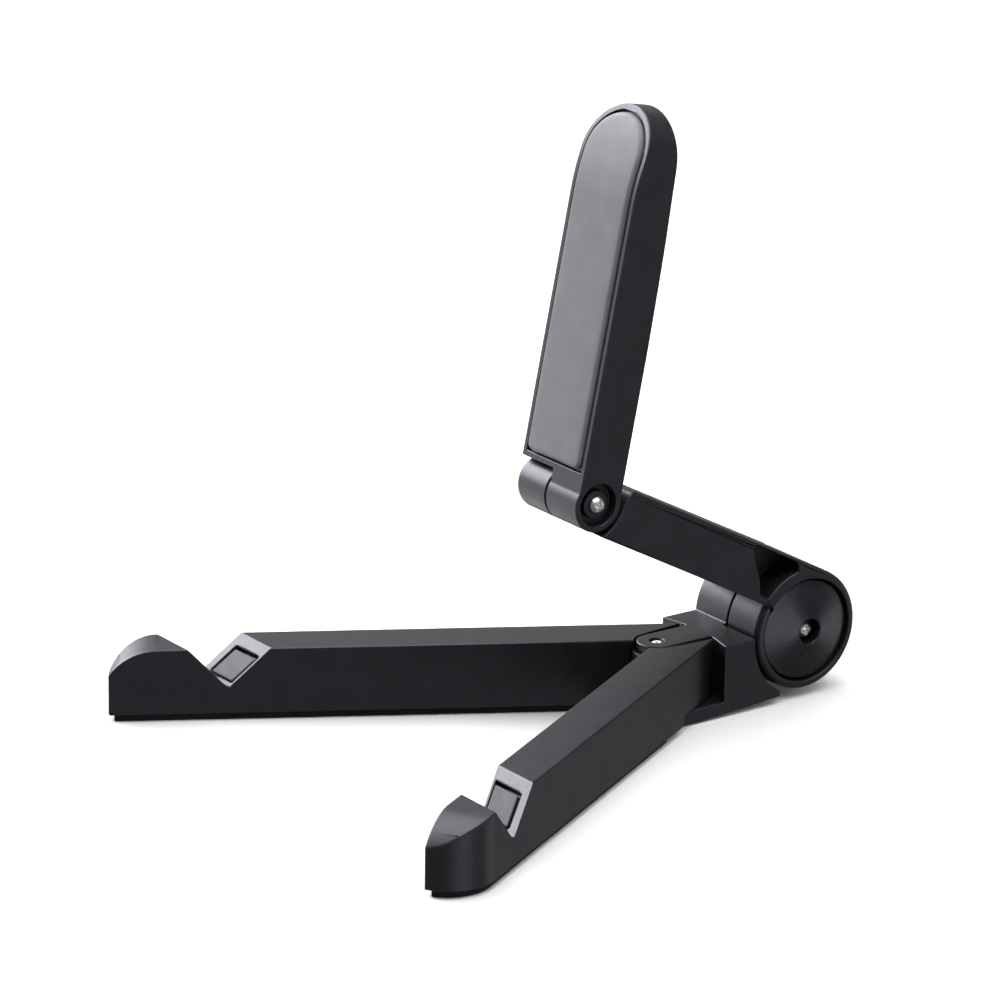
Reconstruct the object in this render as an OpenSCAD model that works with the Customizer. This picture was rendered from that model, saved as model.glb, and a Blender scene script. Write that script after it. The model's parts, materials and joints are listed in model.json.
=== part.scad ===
// Folding tablet stand: two swinging legs on a hub, a locking lower arm and an upper bar.
// Millimetres. Origin on the floor under the leg pivot, X along the barrel, -Y forward, Z up.

/* [Pose] */
// angle each leg is swung out from the centre plane, degrees
leg_open = 30; // [26:1:32]
// lift of the lower arm above the legs, degrees
arm_lift = 28; // [10:1:60]
// angle of the upper bar from straight ahead over the legs, degrees
bar_lift = 101.5; // [70:0.5:106]

/* [Legs] */
// width of one leg
leg_width = 12; // [11:0.5:13]
// reach of a leg from its pivot to the tip
leg_reach = 130.5; // [115:0.5:150]
// height of the top face of the legs above the floor
leg_top = 18.1; // [17.5:0.1:18.9]
// depth of the rest notch
notch_depth = 9.5; // [7:0.5:10.5]
// thickness of the rubber strips under the legs
foot_height = 1.9; // [1.7:0.1:2.2]

/* [Hub and barrel] */
// half width of the hub
hub_half = 12.5; // [12.5:0.1:14]
// outer radius of the barrel
barrel_r = 15; // [14.5:0.1:15.1]
// distance from the leg pivot to the barrel axis
barrel_y = 36; // [35:0.5:42]
// travel of the release button
button_travel = 2.0; // [1:0.1:2.2]

/* [Arms] */
// distance along the lower arm between its two joints
arm_reach = 76; // [66:1:90]
// reach of the upper bar from its joint to the rounded end
bar_reach = 92.5; // [80:0.5:105]
// half width of the lower arm and the upper bar
arm_half = 12.1; // [11.5:0.1:12.4]
// thickness of the lower arm
arm_thick = 13; // [12:0.5:13]
// height of the rubber pad above the rim of the upper bar
pad_proud = 0.8; // [0.4:0.1:1.0]

/* [Hidden] */
$fn = 96;
eps = 0.05;
slip = 0.05;
seam = 0.2;
gap = 0.4;
prong_gap = 0.6;

leg_z0 = foot_height;
leg_gap = 0.2;
plate_z = 3.9;
tongue_mid = 9.95;
tongue_r = 6.0;
prong_z = 16.1;
prong_half = 4.9;
deck_z = leg_top;
base_r = hub_half;
base_y = -3;
foot_half = hub_half - 2;
foot_length = 6.5;
hub_low = 0.4;
bevel_y = 4;
bevel_rise = 1.5;
sweep_r = base_r - base_y + gap;
level_gap = 0.3;
pin_r = 1.25;
pin_head_r = 1.55;
pin_head_z = 17.1;
pin_head_h = 0.35;
pin_dome_h = 0.45;
slot_width = 0.6;
slot_reach = 0.62;
max_open = 32;
prong_open = 34;
tail = 7;
mitre = tail * tan(max_open) + 2 * leg_gap;

hook_r = 14.7;
ridge_s = 111.3;
notch_half = 0.35;
notch_front = 8.3;
notch_rear = 8.7;
notch_y = -(ridge_s * cos(leg_open)) + notch_front;
notch_z = leg_top - notch_depth;
rest_t0 = 1.2;
rest_t1 = 9.5;
rest_z0 = notch_z + 0.7;
rest_z1 = leg_top - 2.6;
rest_depth = 2.2;
rest_slot = 0.55;
nose_bevel = 0.4;
strip_inset = 1.3;
strip_s0 = 18;

barrel_z = foot_height + barrel_r + 0.2;
wing_y = 11;
notch_apex_x = 5.8;
notch_apex_y = 12.5;
hub_rear = 28;
barrel_cut = barrel_r + 0.95;
lock_r = 11.5;
lock_floor = -8.5;
lock_len = 5;
lock_tip = 8.9;
gear_tip = 8.4;
tooth = 0.8;
teeth = 24;
gear_x0 = -3.2;
stem_bore = 9.3;

cheek_x = arm_half;
edge_round = 1.8;
cavity_r = 12.8;
cavity_x = 5.0;
button_r = 12.4;
button_x0 = cavity_x + button_travel + 0.3;
button_edge = 11.1;
button_top = 13.3;
recess_r = 3.1;
recess_x = 9.0;
screw_r = 1.5;
screw_head_r = 2.1;
screw_head_h = 0.4;
screw_dome_h = 1.4;
slot_drop = 0.8;
main_head_h = 1.8;
main_nut_r = 3.5;
main_nut_x = -11.9;
main_nut_h = 2.2;

arm_q0 = barrel_r - arm_thick;
joint_q = barrel_r - arm_thick / 2;
knuckle_r = arm_thick / 2;
knuckle_clear = knuckle_r + 0.45;
pocket_depth = 8;
pocket_ring = 15.6;
pocket_bottom = 3.5;
pocket_top = 14.2;
pocket_left = [[26.0, 13.4], [24.6, 9.8], [20.6, 8.6], [18.8, 4.3]];
pocket_low = [[18.5, 3.9], [18.0, pocket_bottom]];
pocket_right = [[10.0, 12.0], [10.2, 13.2], [10.7, 13.8], [11.7, pocket_top]];
pocket_left_top = [[25.1, pocket_top], [25.8, 14.0]];
end_top = [[-10.5, barrel_r + 0.01], [-7.4, barrel_r - 0.1], [-7.3, barrel_r - 2.2],
           [-7.4, barrel_r - 5]];
end_low = [[-7.4, barrel_r - 5], [-7.5, barrel_r - 8], [-6.9, barrel_r - 10.5],
           [-5.2, arm_q0 - 0.01]];

bar_back = 6.3;
bar_front = 5.8;
bar_start = 5.8;
curve_start = bar_reach - 22.5;
curve_r = 58;
back_start = 29;
back_r = 950;
pad_inset = 1.5;
pad_groove = 0.6;
pad_floor = 1.0;
pad_start = 7.9;
boss_r = 3.4;
boss_x = 11.1;
ring_r = 5.1;
ring_depth = 2.6;
nut_r = 3.2;
nut_h = 2.2;
nut_x = -11.2;
washer_r = 4.8;

// ---- helpers ----

function bez(a, b, c, d, n) = [
  for (i = [0:n])
    let (u = i / n, v = 1 - u)
      v * v * v * a + 3 * v * v * u * b + 3 * v * u * u * c + u * u * u * d
];

// cylinder along X from x0 to x1
module xcyl(r, x0, x1, fn = 96)
  translate([x0, 0, 0]) rotate([0, 90, 0]) cylinder(r = r, h = x1 - x0, $fn = fn);

// 2D outline in the (Y, Z) plane pushed along X from x0 to x1
module xprism(x0, x1)
  translate([x0, 0, 0]) rotate([90, 0, 90]) linear_extrude(height = x1 - x0) children();

module at_barrel()
  translate([0, barrel_y, barrel_z]) children();

module at_arm()
  at_barrel() rotate([-arm_lift, 0, 0]) children();

module at_bar()
  at_arm() translate([0, -arm_reach, joint_q]) rotate([-(bar_lift - arm_lift), 0, 0]) children();

module at_leg(side)
  rotate([0, 0, side * leg_open]) children();

// toothed outline, n teeth between radii r0 and r1
module tooth_ring(n, r0, r1)
  polygon([
    for (i = [0:2 * n - 1])
      let (r = (i % 2 == 0) ? r1 : r0, a = i * 180 / n)
        [r * cos(a), r * sin(a)]
  ]);

// ---- hub ----

module hub_plan()
  polygon([
    [-hub_half, wing_y], [-notch_apex_x, notch_apex_y], [notch_apex_x, notch_apex_y],
    [hub_half, wing_y], [hub_half, hub_rear], [-hub_half, hub_rear]
  ]);

module hub_base_plan() {
  translate([-hub_half, base_y]) square([2 * hub_half, notch_apex_y - base_y + 1]);
  translate([0, base_y]) circle(r = base_r);
}

module prong_plan() {
  translate([-prong_half, 0]) square([2 * prong_half, notch_apex_y + 1]);
  circle(r = prong_half);
}

// underside rising towards the rear, behind the foot pad
module rear_bevel()
  xprism(-hub_half - 1, hub_half + 1)
  polygon([
    [bevel_y, hub_low], [bevel_y, hub_low - 1], [hub_rear + 1, hub_low - 1],
    [hub_rear + 1, hub_low + bevel_rise * (hub_rear + 1 - bevel_y) / (hub_rear - bevel_y)]
  ]);

module hub()
  color("#2b2b2e")
  difference() {
    union() {
      translate([0, 0, hub_low]) linear_extrude(height = deck_z - hub_low) hub_plan();
      translate([0, 0, hub_low]) linear_extrude(height = plate_z - hub_low) hub_base_plan();
      translate([0, 0, prong_z]) linear_extrude(height = deck_z - prong_z) prong_plan();
      at_barrel() xcyl(barrel_r, -hub_half, -seam);
    }
    rear_bevel();
    at_barrel() xcyl(barrel_cut, -seam, hub_half + 1);
    at_barrel() xcyl(lock_r, lock_floor, 0);
    at_barrel() xcyl(screw_r + slip, -hub_half - 1, 0);
    at_barrel() xcyl(main_nut_r, -hub_half - 1, main_nut_x + main_nut_h, 6);
    cylinder(r = pin_r + slip, h = 2 * deck_z);
    translate([0, 0, pin_head_z]) cylinder(r = pin_head_r + 0.2, h = 4);
  }

module hub_foot()
  color("#1a1a1a")
  linear_extrude(height = hub_low) {
    translate([-foot_half, base_y]) square([2 * foot_half, foot_length]);
    translate([0, base_y]) circle(r = foot_half);
  }

module leg_pivot_screw()
  color("#b9bcc0")
  difference() {
    union() {
      translate([0, 0, leg_z0 + 0.2]) cylinder(r = pin_r, h = pin_head_z - leg_z0 - 0.2);
      translate([0, 0, pin_head_z]) screw_head(pin_head_r, pin_head_h, pin_dome_h);
    }
    cross_slot(pin_head_z + 0.3, pin_head_r);
  }

// rim of height h under a dome of height d, standing along Z
module screw_head(r, h, d) {
  ball_r = (r * r + d * d) / (2 * d);
  cylinder(r = r, h = h);
  intersection() {
    translate([0, 0, h + d - ball_r]) sphere(r = ball_r);
    translate([0, 0, h]) cylinder(r = r, h = d + 1);
  }
}

// cross recess in a screw head of radius r standing along Z
module cross_slot(z, r)
  translate([0, 0, z]) {
    translate([-slot_reach * r, -slot_width / 2, 0]) cube([2 * slot_reach * r, slot_width, 4]);
    translate([-slot_width / 2, -slot_reach * r, 0]) cube([slot_width, 2 * slot_reach * r, 4]);
  }

// ---- lock inside the barrel ----

module lock_ring()
  color("#55585c")
  at_barrel()
  translate([-seam - 0.2, 0, 0]) rotate([0, -90, 0])
  linear_extrude(height = lock_len)
  difference() {
    circle(r = lock_r);
    tooth_ring(teeth, lock_tip, lock_tip + tooth);
  }

module hinge_screw()
  color("#b9bcc0")
  at_barrel()
  rotate([0, 90, 0]) difference() {
    union() {
      translate([0, 0, main_nut_x]) cylinder(r = screw_r, h = recess_x - main_nut_x);
      translate([0, 0, recess_x]) screw_head(screw_head_r, main_head_h, screw_dome_h);
    }
    cross_slot(recess_x + main_head_h + screw_dome_h - slot_drop, screw_head_r);
  }

module hinge_nut()
  color("#b9bcc0")
  at_barrel()
  difference() {
    xcyl(main_nut_r - 0.1, main_nut_x, main_nut_x + main_nut_h, 6);
    xcyl(screw_r + slip, main_nut_x - 1, 0);
  }

module hinge_washer()
  color("#8b8f94")
  at_barrel()
  difference() {
    xcyl(barrel_r - 0.5, -seam, 0);
    xcyl(lock_r + 0.4, -1, 1);
  }

module release_spring()
  color("#9a9da1")
  at_barrel()
  difference() {
    xcyl(5.2, lock_floor, gear_x0 - button_travel - 0.2);
    xcyl(4.2, lock_floor - 1, 0);
  }

module release_button()
  color("#2b2b2e")
  at_barrel()
  difference() {
    rotate([0, 90, 0]) {
      translate([0, 0, button_x0]) cylinder(r = button_r, h = button_edge - button_x0);
      translate([0, 0, button_edge])
        cylinder(r1 = button_r, r2 = recess_r, h = button_top - button_edge);
    }
    xcyl(recess_r, recess_x, button_top + 1);
    xcyl(screw_r + 0.15, 0, button_top + 1);
  }

module clutch_gear()
  color("#55585c")
  at_barrel()
  difference() {
    translate([gear_x0, 0, 0]) rotate([0, 90, 0])
      linear_extrude(height = button_x0 - gear_x0) tooth_ring(teeth, gear_tip - tooth, gear_tip);
    xcyl(screw_r + 0.15, gear_x0 - 1, button_x0 + 1);
  }

// ---- legs ----

// plan of the right-hand leg, pointing to -Y with its inner face near X = 0
module leg_plan() {
  translate([leg_gap, leg_width - leg_reach])
    square([leg_width - leg_gap, leg_reach - leg_width]);
  intersection() {
    translate([0, leg_width - leg_reach]) circle(r = leg_width);
    translate([leg_gap, -leg_reach]) square([leg_width - leg_gap, leg_width]);
  }
  polygon([[leg_gap, 0], [leg_width, 0], [leg_width, tail], [mitre, tail]]);
}

module notch_cut()
  rotate([0, 0, -leg_open]) xprism(-20, 120)
  polygon([
    [notch_y - notch_half, notch_z], [notch_y + notch_half, notch_z],
    [notch_y + notch_rear * 1.3, notch_z + notch_depth * 1.3],
    [notch_y - notch_front * 1.3, notch_z + notch_depth * 1.3]
  ]);

// slab that follows the rear slope of the notch, from depth d0 to depth d1, heights z0 to z1
module slope_slab(d0, d1, z0, z1) {
  k = notch_rear / notch_depth;
  s = sin(atan(1 / k));
  c = cos(atan(1 / k));
  y0 = notch_y + notch_half + (z0 - notch_z) * k;
  y1 = notch_y + notch_half + (z1 - notch_z) * k;
  rotate([0, 0, -leg_open]) xprism(-20, 120)
    polygon([
      [y0 + d0 * s, z0 - d0 * c], [y0 + d1 * s, z0 - d1 * c],
      [y1 + d1 * s, z1 - d1 * c], [y1 + d0 * s, z1 - d0 * c]
    ]);
}

module lane(t0, t1)
  translate([t0, -leg_reach, 0]) cube([t1 - t0, leg_reach, 3 * leg_top]);

module rest_pocket()
  intersection() {
    slope_slab(-1, rest_depth, rest_z0, rest_z1);
    lane(rest_t0, rest_t1);
  }

module rest_pad()
  intersection() {
    slope_slab(-0.15, rest_depth, rest_z0 + 0.1, rest_z1 - rest_slot);
    lane(rest_t0 + 0.15, rest_t1 - rest_slot);
  }

// curved top of the hook and the small bevel under its nose
module nose_cut() {
  difference() {
    translate([-1, -leg_reach - 2, leg_top - hook_r])
      cube([leg_width + 2, leg_width + 2, hook_r + 2]);
    translate([0, leg_width - leg_reach, leg_top - hook_r]) xcyl(hook_r, -2, leg_width + 2);
  }
  translate([0, -leg_reach, leg_z0]) xprism(-1, leg_width + 1)
    polygon([[-1, -1], [nose_bevel, -1], [nose_bevel, 0], [0, nose_bevel], [-1, nose_bevel]]);
}

module leg_body()
  difference() {
    translate([0, 0, leg_z0]) linear_extrude(height = leg_top - leg_z0) leg_plan();
    notch_cut();
    nose_cut();
    rest_pocket();
    // room for the base plate of the hub
    translate([0, 0, -1]) cylinder(r = sweep_r, h = plate_z + level_gap + 1);
    translate([-1, 0, -1]) cube([leg_width + 2, 2 * tail, plate_z + level_gap + 1]);
  }

// area swept by the upper prong as the leg folds
module prong_sweep() {
  r = prong_half + prong_gap;
  circle(r = r);
  polygon([
    [0, 0], [r * cos(prong_open), -r * sin(prong_open)],
    [r * cos(prong_open) + 20 * sin(prong_open), -r * sin(prong_open) + 20 * cos(prong_open)],
    [-8, 20], [-8, 0]
  ]);
}

module right_leg()
  color("#2b2b2e")
  at_leg(1)
  difference() {
    union() {
      difference() {
        leg_body();
        translate([0, 0, -1]) cylinder(r = tongue_r + gap, h = tongue_mid + level_gap / 2 + 1);
      }
      translate([0, 0, tongue_mid + level_gap / 2])
        cylinder(r = tongue_r, h = prong_z - level_gap - tongue_mid - level_gap / 2);
    }
    translate([0, 0, prong_z - level_gap]) linear_extrude(height = 6) prong_sweep();
    translate([0, 0, -1]) cylinder(r = pin_r + slip, h = 2 * leg_top);
  }

module left_leg()
  color("#2b2b2e")
  mirror([1, 0, 0]) at_leg(1)
  difference() {
    union() {
      difference() {
        leg_body();
        translate([0, 0, tongue_mid - level_gap / 2])
          cylinder(r = tongue_r + gap, h = prong_z - level_gap - tongue_mid + level_gap / 2);
        translate([0, 0, prong_z - level_gap]) linear_extrude(height = 6) prong_sweep();
      }
      translate([0, 0, plate_z + level_gap])
        cylinder(r = tongue_r, h = tongue_mid - plate_z - 1.5 * level_gap);
    }
    translate([0, 0, -1]) cylinder(r = pin_r + slip, h = 2 * leg_top);
  }

module strip_plan()
  difference() {
    union() {
      translate([strip_inset, leg_width - leg_reach])
        square([leg_width - 2 * strip_inset, leg_reach - leg_width - strip_s0]);
      intersection() {
        translate([0, leg_width - leg_reach]) circle(r = leg_width - strip_inset);
        translate([strip_inset, -leg_reach]) square([leg_width - 2 * strip_inset, leg_width]);
      }
    }
    circle(r = sweep_r);
  }

module foot_strip()
  linear_extrude(height = foot_height) strip_plan();

module right_foot_strip()
  color("#1a1a1a") at_leg(1) foot_strip();

module left_foot_strip()
  color("#1a1a1a") mirror([1, 0, 0]) at_leg(1) foot_strip();

module right_rest_pad()
  color("#3a3a3c") at_leg(1) rest_pad();

module left_rest_pad()
  color("#3a3a3c") mirror([1, 0, 0]) at_leg(1) rest_pad();

// ---- lower arm: along -Y from the barrel axis when flat ----

module cheek()
  rotate([0, 90, 0]) rotate_extrude()
  union() {
    translate([0, seam]) square([barrel_r, cheek_x - edge_round - seam]);
    translate([0, seam]) square([barrel_r - edge_round, cheek_x - seam]);
    translate([barrel_r - edge_round, cheek_x - edge_round]) circle(r = edge_round);
  }

// section of the arm across its length, both top corners rounded like the cheek
module arm_section() {
  translate([-arm_half, arm_q0]) square([2 * arm_half, arm_thick - edge_round]);
  translate([edge_round - arm_half, arm_q0]) square([2 * (arm_half - edge_round), arm_thick]);
  for (side = [-1, 1])
    translate([side * (arm_half - edge_round), barrel_r - edge_round]) circle(r = edge_round);
}

// knuckle of the arm, its outer rim rounded like the cheek
module arm_knuckle()
  rotate([0, -90, 0]) rotate_extrude()
  union() {
    translate([0, seam]) square([knuckle_r, arm_half - edge_round - seam]);
    translate([0, seam]) square([knuckle_r - edge_round, arm_half - seam]);
    translate([knuckle_r - edge_round, arm_half - edge_round]) circle(r = edge_round);
  }

// end of the near half of the arm, clear of the knuckle of the upper bar
module near_end_cut()
  translate([0, -arm_reach, 0]) xprism(-seam, arm_half + 1)
    polygon(concat(
      [for (q = bez(end_top[0], end_top[1], end_top[2], end_top[3], 8)) [-q[0], q[1]]],
      [for (q = bez(end_low[0], end_low[1], end_low[2], end_low[3], 8)) [-q[0], q[1]]],
      [[-20, arm_q0 - 0.01], [-20, barrel_r + 0.01]]
    ));

// hollow between the side panel of the arm and the cheek
module panel_pocket()
  difference() {
    xprism(arm_half - pocket_depth, arm_half + 1)
      polygon([
        for (q = concat(
          bez(pocket_left[0], pocket_left[1], pocket_left[2], pocket_left[3], 12),
          pocket_low, [[12, pocket_bottom]], pocket_right, pocket_left_top
        )) [-q[0], q[1]]
      ]);
    xcyl(pocket_ring, 0, arm_half + 2);
  }

module lower_arm()
  color("#2b2b2e")
  at_arm()
  difference() {
    union() {
      cheek();
      difference() {
        rotate([90, 0, 0]) linear_extrude(height = arm_reach) arm_section();
        xcyl(barrel_r + gap, -arm_half - 1, seam);
        near_end_cut();
        panel_pocket();
      }
      translate([0, -arm_reach, joint_q]) arm_knuckle();
    }
    xcyl(cavity_r, cavity_x, cheek_x + 1);
    xcyl(stem_bore, 0, cheek_x);
    translate([0, -arm_reach, joint_q]) {
      xcyl(screw_r + slip, -arm_half - 1, 0);
      xcyl(nut_r, -arm_half - 1, nut_x + nut_h, 6);
    }
  }

module joint_nut()
  color("#b9bcc0")
  at_arm() translate([0, -arm_reach, joint_q])
  difference() {
    xcyl(nut_r - 0.1, nut_x, nut_x + nut_h, 6);
    xcyl(screw_r + slip, nut_x - 1, 0);
  }

module joint_screw()
  color("#b9bcc0")
  at_arm() translate([0, -arm_reach, joint_q])
  rotate([0, 90, 0]) difference() {
    union() {
      translate([0, 0, nut_x]) cylinder(r = screw_r, h = boss_x + 0.05 - nut_x);
      translate([0, 0, boss_x + 0.05]) screw_head(screw_head_r, screw_head_h, screw_dome_h);
    }
    cross_slot(boss_x + screw_head_h + screw_dome_h - slot_drop, screw_head_r);
  }

module joint_washer()
  color("#8b8f94")
  at_arm() translate([0, -arm_reach, joint_q])
  difference() {
    xcyl(washer_r, -seam, seam - 0.1);
    xcyl(screw_r + slip, -1, 1);
  }

// ---- upper bar: along -Y from its joint, front face down, when flat ----

// everything behind the front surface, raised by off
module behind_front(off) {
  w = 2 * arm_half + 4;
  translate([-w / 2, -curve_start, -(bar_front + off)]) cube([w, curve_start + 20, 30]);
  intersection() {
    translate([0, -curve_start, curve_r - bar_front]) xcyl(curve_r + off, -w / 2, w / 2, 360);
    translate([-w / 2, -bar_reach - 10, -(bar_front + off)])
      cube([w, bar_reach + 10 - curve_start + eps, 30]);
  }
}

// everything in front of the back surface
module before_back() {
  w = 2 * arm_half + 4;
  translate([-w / 2, -back_start, bar_back - 30]) cube([w, back_start + 20, 30]);
  intersection() {
    translate([0, -back_start, bar_back - back_r]) xcyl(back_r, -w / 2, w / 2, 360);
    translate([-w / 2, -bar_reach - 10, bar_back - 30])
      cube([w, bar_reach + 10 - back_start + eps, 30]);
  }
}

// rounded outline of the bar or the pad in plan, drawn back by inset
module bar_plan(inset, start) {
  r = arm_half - inset;
  translate([-r, arm_half - bar_reach]) square([2 * r, bar_reach - arm_half - start]);
  translate([0, arm_half - bar_reach]) circle(r = r);
}

module pad_prism(inset, start)
  translate([0, 0, -10]) linear_extrude(height = 12) bar_plan(inset, start);

module upper_bar()
  color("#2b2b2e")
  at_bar()
  difference() {
    union() {
      difference() {
        intersection() {
          union() {
            translate([0, 0, -bar_front - 1])
              linear_extrude(height = bar_front + 1 + bar_back) bar_plan(0, bar_start);
            translate([seam, -bar_start - 1, -bar_front])
              cube([arm_half - seam, bar_start + 1, bar_front + bar_back]);
          }
          behind_front(0);
          before_back();
        }
        difference() {
          pad_prism(pad_inset, pad_start - pad_groove);
          behind_front(-pad_floor);
        }
        xcyl(knuckle_clear, -arm_half - 1, seam);
      }
      xcyl(knuckle_r, seam, arm_half);
    }
    xcyl(screw_r + 0.1, 0, arm_half + 1);
    difference() {
      xcyl(ring_r, arm_half - ring_depth, arm_half + 1);
      xcyl(boss_r, arm_half - ring_depth - 1, boss_x);
    }
  }

module upper_pad()
  color("#3a3a3c")
  at_bar()
  difference() {
    intersection() {
      pad_prism(pad_inset + pad_groove, pad_start);
      behind_front(pad_proud);
    }
    behind_front(-pad_floor);
  }

hub();
hub_foot();
leg_pivot_screw();
lock_ring();
hinge_screw();
hinge_nut();
hinge_washer();
release_spring();
left_leg();
left_rest_pad();
left_foot_strip();
right_leg();
right_rest_pad();
right_foot_strip();
lower_arm();
joint_nut();
joint_screw();
joint_washer();
release_button();
clutch_gear();
upper_bar();
upper_pad();
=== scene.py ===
import json
import math

import bmesh
import bpy
from mathutils import Matrix, Vector


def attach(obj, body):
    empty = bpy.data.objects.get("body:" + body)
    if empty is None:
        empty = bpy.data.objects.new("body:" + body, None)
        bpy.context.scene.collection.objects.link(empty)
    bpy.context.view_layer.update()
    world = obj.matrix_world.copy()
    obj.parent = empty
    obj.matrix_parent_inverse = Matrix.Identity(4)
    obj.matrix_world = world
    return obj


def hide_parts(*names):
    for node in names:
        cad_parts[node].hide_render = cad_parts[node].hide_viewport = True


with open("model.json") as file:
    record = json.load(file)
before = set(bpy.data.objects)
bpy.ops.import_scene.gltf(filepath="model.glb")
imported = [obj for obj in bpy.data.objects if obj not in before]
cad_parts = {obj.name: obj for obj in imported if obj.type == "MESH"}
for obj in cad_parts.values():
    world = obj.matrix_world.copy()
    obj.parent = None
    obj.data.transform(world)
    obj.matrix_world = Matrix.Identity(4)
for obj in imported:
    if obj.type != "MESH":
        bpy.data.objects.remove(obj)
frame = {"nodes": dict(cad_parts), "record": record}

MM = 0.001
BARREL_Y, BARREL_Z = 36.0, 17.1
BAR_JOINT = (-27.114, 60.285)
BAR_LIFT = math.radians(101.5)
ARM_LIFT = math.radians(28)
NODES = frame["nodes"]
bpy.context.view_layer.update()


# ---- node helpers ----

def math_node(tree, operation, *values):
    """One math node; each value is a number or the socket of an earlier node."""
    node = tree.nodes.new("ShaderNodeMath")
    node.operation = operation
    for value, socket in zip(values, node.inputs):
        if isinstance(value, (int, float)):
            socket.default_value = value
        else:
            tree.links.new(value, socket)
    return node.outputs["Value"]


def new_material(name):
    mat = bpy.data.materials.new(name)
    mat.use_nodes = True
    tree = mat.node_tree
    tree.nodes.clear()
    out = tree.nodes.new("ShaderNodeOutputMaterial")
    shader = tree.nodes.new("ShaderNodeBsdfPrincipled")
    tree.links.new(shader.outputs["BSDF"], out.inputs["Surface"])
    return mat, tree, shader


def noise(tree, size_mm, detail, roughness=0.5):
    coord = tree.nodes.new("ShaderNodeTexCoord")
    mapping = tree.nodes.new("ShaderNodeMapping")
    mapping.inputs["Scale"].default_value = [1 / (size_mm * MM)] * 3
    node = tree.nodes.new("ShaderNodeTexNoise")
    node.inputs["Scale"].default_value = 1.0
    node.inputs["Detail"].default_value = detail
    node.inputs["Roughness"].default_value = roughness
    tree.links.new(coord.outputs["Object"], mapping.inputs["Vector"])
    tree.links.new(mapping.outputs["Vector"], node.inputs["Vector"])
    return node.outputs["Fac"]


# most of a noise lies between these values
NOISE_LOW, NOISE_HIGH = 0.3, 0.7


def ramp(tree, source, low, high):
    """Colour between low and high, following a noise."""
    node = tree.nodes.new("ShaderNodeValToRGB")
    node.color_ramp.elements[0].position = NOISE_LOW
    node.color_ramp.elements[1].position = NOISE_HIGH
    node.color_ramp.elements[0].color = (*low, 1)
    node.color_ramp.elements[1].color = (*high, 1)
    tree.links.new(source, node.inputs["Fac"])
    return node.outputs["Color"]


def spread(tree, source, low, high):
    """Number between low and high, following a noise."""
    node = tree.nodes.new("ShaderNodeMapRange")
    node.inputs["From Min"].default_value = NOISE_LOW
    node.inputs["From Max"].default_value = NOISE_HIGH
    node.inputs["To Min"].default_value = low
    node.inputs["To Max"].default_value = high
    tree.links.new(source, node.inputs["Value"])
    return node.outputs["Result"]


def bump(tree, shader, source, height_mm):
    node = tree.nodes.new("ShaderNodeBump")
    node.inputs["Strength"].default_value = 1.0
    node.inputs["Distance"].default_value = height_mm * MM
    tree.links.new(source, node.inputs["Height"])
    tree.links.new(node.outputs["Normal"], shader.inputs["Normal"])


BLACK = (0.0042, 0.0042, 0.0050)
# the sheen of the mouldings is slightly blue
COOL = (0.86, 0.85, 1.0, 1)


def moulded(name, colour, rough, grain_mm, grain_height, specular, change=0.25):
    """Moulded plastic or rubber: fine grain, slight change of shade and of gloss."""
    mat, tree, shader = new_material(name)
    low = [c * (1 - change) for c in colour]
    high = [c * (1 + change) for c in colour]
    tree.links.new(ramp(tree, noise(tree, 6, 3), low, high), shader.inputs["Base Color"])
    tree.links.new(spread(tree, noise(tree, 2.5, 4), rough - 0.03, rough + 0.03),
                   shader.inputs["Roughness"])
    shader.inputs["Specular IOR Level"].default_value = specular
    shader.inputs["Specular Tint"].default_value = COOL
    bump(tree, shader, noise(tree, grain_mm, 3, 0.6), grain_height)
    return mat


def metal(name, colour, rough):
    mat, tree, shader = new_material(name)
    shader.inputs["Metallic"].default_value = 1.0
    low = [c * 0.9 for c in colour]
    tree.links.new(ramp(tree, noise(tree, 0.4, 3), low, colour), shader.inputs["Base Color"])
    tree.links.new(spread(tree, noise(tree, 0.15, 4, 0.6), rough - 0.06, rough + 0.08),
                   shader.inputs["Roughness"])
    bump(tree, shader, noise(tree, 0.12, 2), 0.004)
    return mat


BODY = moulded("body_plastic_grain", BLACK, 0.40, 0.35, 0.010, 0.49)
ARM = moulded("arm_plastic_grain", BLACK, 0.40, 0.35, 0.010, 0.49)
BUTTON = moulded("button_plastic_grain", BLACK, 0.27, 0.4, 0.005, 0.55)
PAD = moulded("pad_rubber_grain", (0.075, 0.075, 0.079), 0.55, 0.25, 0.014, 0.4, 0.08)
REST = moulded("rest_rubber_grain", (0.020, 0.020, 0.022), 0.55, 0.25, 0.014, 0.28, 0.1)
FOOT = moulded("foot_rubber_grain", (0.006, 0.006, 0.006), 0.7, 0.3, 0.02, 0.2)
STEEL = metal("screw_steel_bright", (0.88, 0.88, 0.9), 0.3)
WASHER = metal("washer_steel_brushed", (0.3, 0.3, 0.31), 0.4)
LOCK = metal("lock_metal_dull", (0.2, 0.2, 0.21), 0.5)

FINISH = {
    "hub": BODY, "left_leg": BODY, "right_leg": BODY, "lower_arm": ARM, "upper_bar": ARM,
    "release_button": BUTTON, "upper_pad": PAD, "left_rest_pad": REST, "right_rest_pad": REST,
    "hub_foot": FOOT, "left_foot_strip": FOOT, "right_foot_strip": FOOT,
    "leg_pivot_screw": STEEL, "hinge_screw": STEEL, "hinge_nut": WASHER, "joint_nut": WASHER,
    "joint_screw": STEEL, "joint_washer": WASHER, "hinge_washer": WASHER,
    "release_spring": WASHER, "lock_ring": LOCK, "clutch_gear": LOCK,
}
for name, mat in FINISH.items():
    node = NODES[name]
    for material_slot in node.material_slots:
        material_slot.material = mat


# ---- rounded edges on the moulded parts ----

WELD_DISTANCE = 1e-6
FLAT_ANGLE = math.radians(0.6)
SHARP_DEGREES = 28
BEVEL_SEGMENTS = 4


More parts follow.
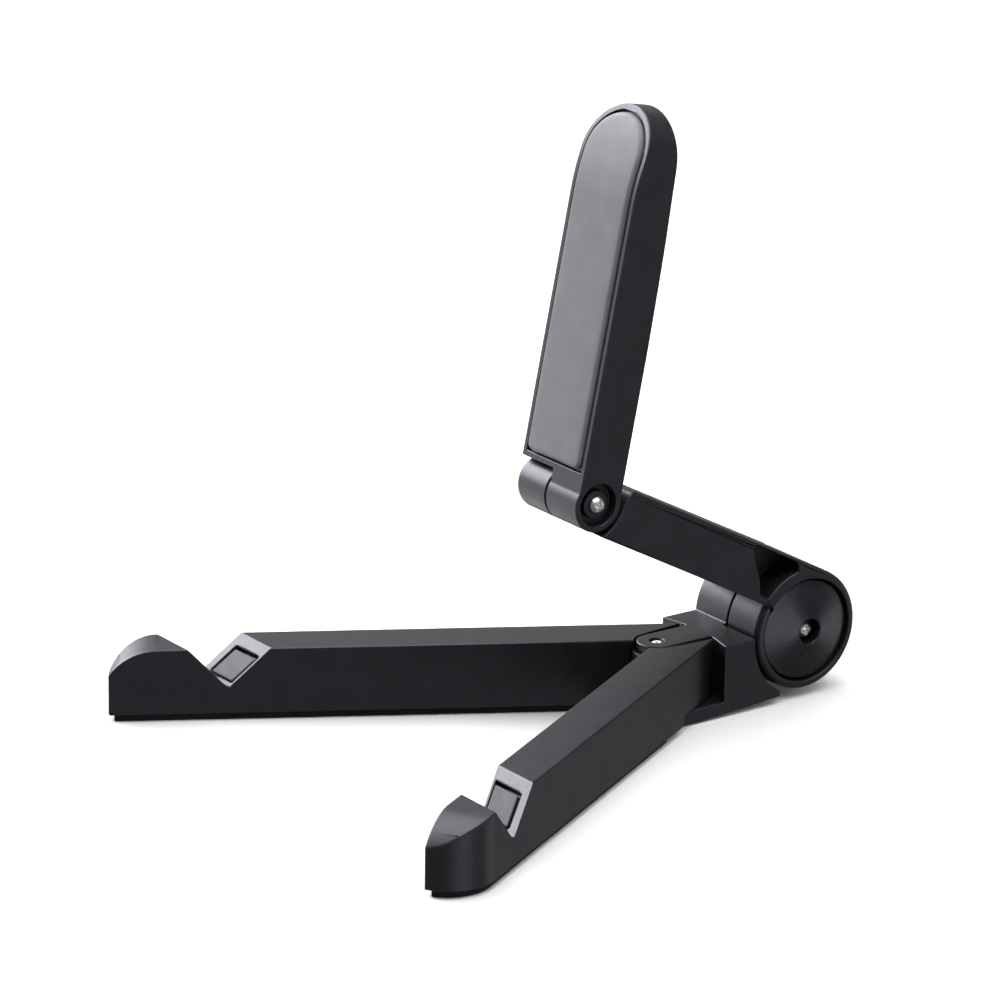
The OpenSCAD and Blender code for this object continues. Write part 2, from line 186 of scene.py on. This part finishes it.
def soften(name, width_mm, zones=None, angle=SHARP_DEGREES):
    """Rounds the edges of a CAD node with modifiers; its own mesh stays as packed.

    zones(tree, x, y, z) gives pairs (mask, width): edges in a mask get that width in place of
    width_mm. x, y, z are sockets with the middle of each edge in millimetres."""
    o = NODES[name]
    weld = o.modifiers.new("weld", "WELD")
    weld.merge_threshold = WELD_DISTANCE
    flat = o.modifiers.new("flat", "DECIMATE")
    flat.decimate_type = "DISSOLVE"
    flat.angle_limit = FLAT_ANGLE

    tree = bpy.data.node_groups.new(name + "_edge_widths", "GeometryNodeTree")
    tree.interface.new_socket("Geometry", in_out="INPUT", socket_type="NodeSocketGeometry")
    tree.interface.new_socket("Geometry", in_out="OUTPUT", socket_type="NodeSocketGeometry")
    start = tree.nodes.new("NodeGroupInput")
    end = tree.nodes.new("NodeGroupOutput")
    position = tree.nodes.new("GeometryNodeInputPosition")
    split = tree.nodes.new("ShaderNodeSeparateXYZ")
    tree.links.new(position.outputs["Position"], split.inputs["Vector"])
    x, y, z = (math_node(tree, "MULTIPLY", split.outputs[axis], 1 / MM) for axis in "XYZ")
    pairs = zones(tree, x, y, z) if zones else []
    widest = max([width_mm] + [width for _, width in pairs])
    weight = width_mm / widest
    for mask, width in pairs:
        keep = math_node(tree, "MULTIPLY", weight, math_node(tree, "SUBTRACT", 1.0, mask))
        weight = math_node(tree, "ADD", keep, math_node(tree, "MULTIPLY", mask, width / widest))
    bend = tree.nodes.new("GeometryNodeInputMeshEdgeAngle")
    sharp = math_node(tree, "GREATER_THAN", bend.outputs["Unsigned Angle"], math.radians(angle))
    weight = math_node(tree, "MULTIPLY", weight, sharp)
    store = tree.nodes.new("GeometryNodeStoreNamedAttribute")
    store.data_type = "FLOAT"
    store.domain = "EDGE"
    store.inputs["Name"].default_value = "bevel_weight_edge"
    tree.links.new(start.outputs[0], store.inputs["Geometry"])
    tree.links.new(weight, store.inputs["Value"])
    tree.links.new(store.outputs["Geometry"], end.inputs[0])
    widths = o.modifiers.new("widths", "NODES")
    widths.node_group = tree

    edge = o.modifiers.new("edge", "BEVEL")
    edge.width = widest * MM
    edge.segments = BEVEL_SEGMENTS
    edge.limit_method = "WEIGHT"
    edge.use_clamp_overlap = False
    edge.miter_outer = "MITER_ARC"
    even = o.modifiers.new("even", "WEIGHTED_NORMAL")
    even.weight = 100
    even.keep_sharp = False


def all_of(tree, *masks):
    """Mask that holds where all the given masks hold."""
    joined = masks[0]
    for mask in masks[1:]:
        joined = math_node(tree, "MULTIPLY", joined, mask)
    return joined


def length_of(tree, a, b):
    """Distance from the origin to the point (a, b)."""
    return math_node(tree, "SQRT", math_node(
        tree, "ADD", math_node(tree, "MULTIPLY", a, a), math_node(tree, "MULTIPLY", b, b)))


# lower arm: lengths along it from the barrel axis, heights above the line through its joints (mm)
ARM_SIDE = 11.5
LOW_SIDE = 3.0
RIM_END, KNUCKLE_START = 19.0, 56.0
RUN_OUT, RUN_OUT_R = (-30.0, 54.6), 2.2
LOW_EDGE = 0.6


def arm_zones(tree, x, y, z):
    """Fuller lower edges; none where the knuckle runs into the underside of the arm."""
    dy = math_node(tree, "SUBTRACT", y, BARREL_Y)
    dz = math_node(tree, "SUBTRACT", z, BARREL_Z)
    along = math_node(tree, "SUBTRACT", math_node(tree, "MULTIPLY", dz, math.sin(ARM_LIFT)),
                      math_node(tree, "MULTIPLY", dy, math.cos(ARM_LIFT)))
    above = math_node(tree, "ADD", math_node(tree, "MULTIPLY", dz, math.cos(ARM_LIFT)),
                      math_node(tree, "MULTIPLY", dy, math.sin(ARM_LIFT)))
    side = math_node(tree, "GREATER_THAN", math_node(tree, "ABSOLUTE", x), ARM_SIDE)
    low = math_node(tree, "LESS_THAN", above, LOW_SIDE)
    past_rim = math_node(tree, "GREATER_THAN", along, RIM_END)
    before_knuckle = math_node(tree, "LESS_THAN", along, KNUCKLE_START)
    reach = length_of(tree, math_node(tree, "SUBTRACT", y, RUN_OUT[0]),
                      math_node(tree, "SUBTRACT", z, RUN_OUT[1]))
    run_out = math_node(tree, "LESS_THAN", reach, RUN_OUT_R)
    return [(all_of(tree, side, low, past_rim, before_knuckle), LOW_EDGE), (run_out, 0.0)]


# legs: tongues round the pivot and the lower edge along the strip keep small radii (mm)
TONGUE_REACH, TONGUE_EDGE = 7.5, 0.1
STRIP_TOP, STRIP_EDGE = 3.0, 0.15


def leg_zones(tree, x, y, z):
    return [(math_node(tree, "LESS_THAN", length_of(tree, x, y), TONGUE_REACH), TONGUE_EDGE),
            (math_node(tree, "LESS_THAN", z, STRIP_TOP), STRIP_EDGE)]


soften("hub", 0.3)
soften("left_leg", 0.45, leg_zones)
soften("right_leg", 0.45, leg_zones)
soften("lower_arm", 0.35, arm_zones)
soften("upper_bar", 0.3, angle=45)
soften("release_button", 0.4)
for name in ("hinge_screw", "joint_screw", "leg_pivot_screw"):
    soften(name, 0.06)


# ---- rubber pieces, each standing for its CAD node ----

def add_piece(name, bm, node, material):
    """A modelled piece that stands for a CAD node, rides on its body and takes its slot."""
    mesh = bpy.data.meshes.new(name)
    bm.normal_update()
    bm.to_mesh(mesh)
    bm.free()
    for face in mesh.polygons:
        face.use_smooth = True
    mesh.materials.append(material)
    o = bpy.data.objects.new(name, mesh)
    bpy.context.scene.collection.objects.link(o)
    groups = frame["record"]["behaviour"]["bodies"]
    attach(o, next(body for body, members in groups.items() if node in members))
    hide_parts(node)
    return o


def rubber_piece(name, node, radius_mm, material):
    """Rubber moulding shaped on its CAD solid, rounded along every edge."""
    bm = bmesh.new()
    bm.from_mesh(NODES[node].data)
    bmesh.ops.remove_doubles(bm, verts=bm.verts, dist=WELD_DISTANCE)
    bmesh.ops.dissolve_limit(bm, angle_limit=FLAT_ANGLE, verts=bm.verts, edges=bm.edges)
    sharp = [e for e in bm.edges
             if len(e.link_faces) == 2 and e.calc_face_angle(0) > math.radians(SHARP_DEGREES)]
    bmesh.ops.bevel(bm, geom=sharp, offset=radius_mm * MM, segments=BEVEL_SEGMENTS, profile=0.5,
                    affect="EDGES", clamp_overlap=True)
    o = add_piece(name, bm, node, material)
    even = o.modifiers.new("even", "WEIGHTED_NORMAL")
    even.weight = 100
    return o


for side in ("left", "right"):
    rubber_piece(side + "_rest_cushion", side + "_rest_pad", 0.45, REST)
    rubber_piece(side + "_foot_rubber", side + "_foot_strip", 0.3, FOOT)
rubber_piece("hub_foot_rubber", "hub_foot", 0.12, FOOT)

# long pad of the upper bar: rows across the bar, a rounded rim all the way round
PAD_HALF = 10.0
PAD_START, PAD_END = 7.9, 90.4
PAD_FLOOR, PAD_FACE = 4.8, 6.6
CURVE_START, CURVE_R = 70.0, 58.8
RIM_R, CORNER_R, CROWN = 0.75, 1.8, 0.12
RIM_STEPS, ROWS, ACROSS = 5, 72, 12


def bar_point(x, s, t):
    """Point of the bar: x across, s along from the joint, t towards its front face (mm)."""
    return Vector((x, BAR_JOINT[0] - s * math.cos(BAR_LIFT) - t * math.sin(BAR_LIFT),
                   BAR_JOINT[1] + s * math.sin(BAR_LIFT) - t * math.cos(BAR_LIFT))) * MM


def pad_drop(s):
    """How far the face of the pad has curved back at s."""
    past = max(s - CURVE_START, 0.0)
    return CURVE_R - math.sqrt(CURVE_R * CURVE_R - past * past)


def half_width(s, inset):
    """Half width of the pad's outline at s: round upper end, rounded lower corners."""
    r = PAD_HALF - inset
    low, high = PAD_START + inset, PAD_END - inset
    corner = CORNER_R - inset
    if s < low + corner:
        return r - corner + math.sqrt(max(corner ** 2 - (low + corner - s) ** 2, 0.0))
    if s > high - r:
        return math.sqrt(max(r * r - (s - high + r) ** 2, 0.0))
    return r


def pad_rows(inset):
    """Places of the rows along the pad, closer together at its two ends."""
    low, high = PAD_START + inset, PAD_END - inset
    return [low + (high - low) * (1 - math.cos(math.pi * i / ROWS)) / 2 for i in range(ROWS + 1)]


bm = bmesh.new()
rings = []
profile = [(0.0, PAD_FLOOR)]
for k in range(RIM_STEPS + 1):
    a = math.pi / 2 * k / RIM_STEPS
    profile.append((RIM_R * (1 - math.cos(a)), PAD_FACE - RIM_R * (1 - math.sin(a))))
for inset, level in profile:
    rows = pad_rows(inset)
    ring = []
    for sign, order in ((1, rows), (-1, rows[::-1])):
        for s in order:
            t = level - pad_drop(s)
            ring.append(bm.verts.new(bar_point(sign * half_width(s, inset), s, t)))
    rings.append(ring)
for lower, upper in zip(rings, rings[1:]):
    for i in range(len(lower)):
        j = (i + 1) % len(lower)
        bm.faces.new((lower[i], lower[j], upper[j], upper[i]))
top_rows = []
last = rings[-1]
inset = profile[-1][0]
for i, s in enumerate(pad_rows(inset)):
    a, b = last[i], last[2 * ROWS + 1 - i]
    row = [a]
    for k in range(1, ACROSS):
        f = k / ACROSS
        x = half_width(s, inset) * (1 - 2 * f)
        bulge = CROWN * (1 - (x / PAD_HALF) ** 2) * half_width(s, inset) / PAD_HALF
        t = PAD_FACE - pad_drop(s) + bulge
        row.append(bm.verts.new(bar_point(x, s, t)))
    row.append(b)
    top_rows.append(row)
for near, far in zip(top_rows, top_rows[1:]):
    for k in range(ACROSS):
        bm.faces.new((near[k], near[k + 1], far[k + 1], far[k]))
bm.faces.new(rings[0][::-1])
bmesh.ops.remove_doubles(bm, verts=bm.verts, dist=2 * WELD_DISTANCE)
bmesh.ops.recalc_face_normals(bm, faces=bm.faces)
pad = add_piece("upper_pad_rubber", bm, "upper_pad", PAD)

# coiled release spring inside the barrel
SPRING_R, WIRE_R = 4.7, 0.4
TURNS, COIL_STEPS = 3, 60
SPRING_X = (-8.1, -5.8)
curve = bpy.data.curves.new("release_spring_coil", "CURVE")
curve.dimensions = "3D"
curve.bevel_depth = WIRE_R * MM
curve.bevel_resolution = 3
coil = curve.splines.new("NURBS")
coil.points.add(COIL_STEPS)
for i in range(COIL_STEPS + 1):
    a = 2 * math.pi * TURNS * i / COIL_STEPS
    x = SPRING_X[0] + (SPRING_X[1] - SPRING_X[0]) * i / COIL_STEPS
    coil.points[i].co = (x * MM, (BARREL_Y + SPRING_R * math.cos(a)) * MM,
                         (BARREL_Z + SPRING_R * math.sin(a)) * MM, 1)
coil.use_endpoint_u = True
spring = bpy.data.objects.new("release_spring_coil", curve)
bpy.context.scene.collection.objects.link(spring)
curve.materials.append(WASHER)
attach(spring, "hub")
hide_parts("release_spring")


# ---- stage ----

floor_mat, floor_tree, floor_shader = new_material("floor_white")
floor_tone = ramp(floor_tree, noise(floor_tree, 180, 2), (0.42, 0.42, 0.42), (0.44, 0.44, 0.44))
floor_tree.links.new(floor_tone, floor_shader.inputs["Base Color"])
floor_shader.inputs["Roughness"].default_value = 0.35
floor_shader.inputs["Specular IOR Level"].default_value = 0.3
FLOOR_HALF = 7
floor_mesh = bpy.data.meshes.new("floor")
floor_mesh.from_pydata([(-FLOOR_HALF, -FLOOR_HALF, 0), (FLOOR_HALF, -FLOOR_HALF, 0),
                        (FLOOR_HALF, FLOOR_HALF, 0), (-FLOOR_HALF, FLOOR_HALF, 0)],
                       [], [(0, 1, 2, 3)])
floor_mesh.materials.append(floor_mat)
floor = bpy.data.objects.new("floor", floor_mesh)
bpy.context.scene.collection.objects.link(floor)
floor.visible_glossy = False

scene = bpy.context.scene
scene.view_settings.view_transform = "Standard"
world = bpy.data.worlds.new("studio")
scene.world = world
world.use_nodes = True
tree = world.node_tree
background = tree.nodes["Background"]
coord = tree.nodes.new("ShaderNodeTexCoord")


def lobe(direction, outer, inner, strength):
    """A soft round patch of the room: full within the inner angle, gone at the outer (degrees)."""
    dot = tree.nodes.new("ShaderNodeVectorMath")
    dot.operation = "DOT_PRODUCT"
    dot.inputs[1].default_value = Vector(direction).normalized()
    tree.links.new(coord.outputs["Generated"], dot.inputs[0])
    node = tree.nodes.new("ShaderNodeMapRange")
    node.interpolation_type = "SMOOTHSTEP"
    node.inputs["From Min"].default_value = math.cos(math.radians(outer))
    node.inputs["From Max"].default_value = math.cos(math.radians(inner))
    node.inputs["To Min"].default_value = 0.0
    node.inputs["To Max"].default_value = strength
    tree.links.new(dot.outputs["Value"], node.inputs["Value"])
    return node.outputs["Result"]


# a dim room with lit areas round it: right wall, rear right, floor glow at the front left, wall
# at the rear left with a dark patch below it, left wall
ROOM = 0.17
glow = ROOM
for patch in (((0.97, 0.03, -0.14), 28, 12, 1.5), ((0.30, 0.92, -0.28), 19, 6, 0.9),
              ((-0.72, -0.45, -0.53), 50, 20, 2.0), ((-0.77, 0.56, 0.32), 40, 15, 0.35),
              ((-0.73, 0.62, -0.28), 24, 12, -0.15), ((-0.95, 0.15, -0.05), 28, 10, 0.35)):
    glow = math_node(tree, "ADD", glow, lobe(*patch))
tree.links.new(glow, background.inputs["Strength"])
background.inputs["Color"].default_value = (1, 1, 1, 1)


def softbox(name, centre, aim, width, height, radiance, glossy=True):
    data = bpy.data.lights.new(name, "AREA")
    data.shape = "RECTANGLE"
    data.size = width
    data.size_y = height
    data.energy = radiance * math.pi * width * height
    o = bpy.data.objects.new(name, data)
    scene.collection.objects.link(o)
    o.location = centre
    o.rotation_mode = "QUATERNION"
    o.rotation_quaternion = (Vector(aim) - Vector(centre)).to_track_quat("-Z", "Y")
    o.visible_glossy = glossy


softbox("key_left", (-2.08, -0.72, 1.47), (0, -0.05, 0.05), 2.4, 2.1, 12.5)
softbox("top_soft", (0.3, -0.1, 2.8), (0, -0.05, 0), 3.2, 3.2, 4.5)
softbox("floor_fill", (1.7, 1.3, 0.9), (0, 0, 0), 1.8, 1.2, 5.0, glossy=False)
softbox("high_fill", (0.3, 0.2, 2.9), (0, 0, 0), 4.5, 4.5, 3.2, glossy=False)


# ---- camera ----

AZIMUTH, ELEVATION, ROLL = math.radians(54.487), math.radians(18.435), math.radians(0.664)
TARGET = Vector((-1.29, -52.27, 65.0)) * MM
DISTANCE = 1374.02 * MM
back = Vector((math.sin(AZIMUTH) * math.cos(ELEVATION),
               -math.cos(AZIMUTH) * math.cos(ELEVATION), math.sin(ELEVATION)))
level = Vector((math.cos(AZIMUTH), math.sin(AZIMUTH), 0))
right = level * math.cos(ROLL) + back.cross(level) * math.sin(ROLL)
up = back.cross(right)
camera_data = bpy.data.cameras.new("camera")
camera_data.sensor_width = 36
camera_data.lens = 214.24
camera_data.shift_x = 0.02335
camera_data.shift_y = -0.00979
camera_data.clip_start = 0.05
camera_data.clip_end = 50
camera = bpy.data.objects.new("camera", camera_data)
scene.collection.objects.link(camera)
turn = Matrix((right, up, back)).transposed().to_4x4()
camera.matrix_world = Matrix.Translation(TARGET + back * DISTANCE) @ turn
scene.camera = camera
